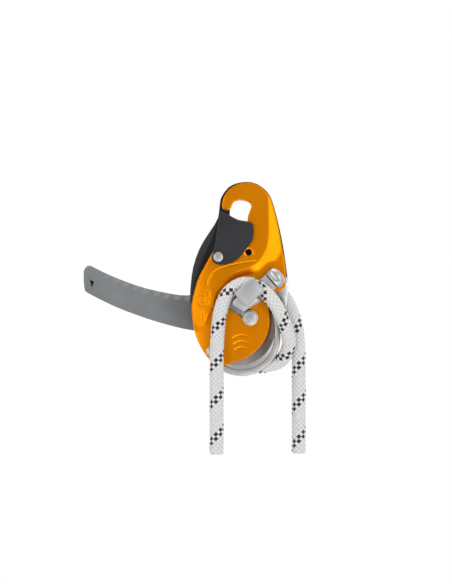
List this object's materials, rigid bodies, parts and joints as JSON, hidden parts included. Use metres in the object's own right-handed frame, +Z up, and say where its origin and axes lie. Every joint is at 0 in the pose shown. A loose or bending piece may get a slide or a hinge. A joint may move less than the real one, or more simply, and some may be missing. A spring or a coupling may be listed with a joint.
{
  "type": "rope grab",
  "caption": "Self-braking rope descender with two side plates, an eccentric cam, a release handle, a hook with a safety gate and a friction bracket, threaded with 11 mm rope.",
  "frame": {"origin": "the top of the attachment eye, where an anchor connector bears, midway between the side plates", "axes": "+X to the load strand's side, +Y to the handle's side (back), +Z up along the hanging device"},
  "size_m": [0.1762, 0.0698, 0.2146],
  "materials": {
    "orange_anodised": "satin anodised orange-gold",
    "black_anodised": "matt black anodised",
    "cover_plastic": "fine grained moulded",
    "gate_plastic": "fine grained moulded",
    "handle_plastic": "fine grained moulded",
    "cast_stainless": "blasted cast stainless steel",
    "steel": "turned stainless steel",
    "bronze": "turned bronze",
    "rope_sheath": "braided polyamide sheath, white with a black tracer"
  },
  "bodies": {
    "root": {"fixed_side_plate": "black_anodised", "rear_cover": "cover_plastic", "cover_screw_1": "steel", "cover_screw_2": "steel", "cover_screw_3": "steel", "cam_axle": "steel", "cam_axle_nut": "steel", "side_plate_pivot": "steel", "pivot_spacer": "steel", "spacer_post_1": "steel", "spacer_post_2": "steel", "friction_insert": "cast_stainless", "insert_screw_1": "steel", "insert_screw_2": "steel", "catch_pin": "steel", "rope_load_strand": "rope_sheath", "rope_in_device": "rope_sheath"},
    "cam": {"cam": "cast_stainless", "cam_bush": "bronze"},
    "side_plate": {"moving_side_plate": "orange_anodised", "gate_rivet": "steel", "friction_bracket": "cast_stainless", "bracket_head": "cast_stainless", "bracket_rivet": "steel", "rope_brake_strand": "rope_sheath"},
    "gate": {"safety_gate": "gate_plastic", "gate_spring": "steel"},
    "handle": {"handle_lever": "handle_plastic", "handle_shaft": "steel", "handle_washer": "steel", "handle_screw": "steel"},
    "catch": {"anti_error_catch": "cast_stainless", "catch_spring": "steel"}
  },
  "joints": [
    {"name": "handle_turn", "type": "hinge", "parent": "root", "child": "handle", "pos_m": [0.0002, 0, -0.0674], "axis": [0, -1, 0], "range_deg": [-62, 58]},
    {"name": "cam_rock", "type": "hinge", "parent": "root", "child": "cam", "pos_m": [0.0064, 0, -0.0922], "axis": [0, -1, 0], "range_deg": [-5.1, 4.8], "deforming": ["rope_in_device", "rope_brake_strand"]},
    {"name": "side_plate_open", "type": "hinge", "parent": "root", "child": "side_plate", "pos_m": [-0.0242, 0, -0.1185], "axis": [0, 1, 0], "range_deg": [0, 33], "deforming": ["rope_brake_strand"]},
    {"name": "safety_gate_open", "type": "hinge", "parent": "side_plate", "child": "gate", "pos_m": [-0.0187, 0, -0.0444], "axis": [0, 1, 0], "range_deg": [0, 24], "stiffness_Nm_per_rad": 0.05, "springref_deg": -20.05, "deforming": ["gate_spring"]},
    {"name": "catch_swing", "type": "hinge", "parent": "root", "child": "catch", "pos_m": [0.0312, 0, -0.0615], "axis": [0, 1, 0], "range_deg": [-3, 12], "stiffness_Nm_per_rad": 0.02, "deforming": ["catch_spring"]}
  ],
  "couplings": [
    {"joint": "cam_rock", "follows": "handle_turn", "ratio": 0.08}
  ]
}
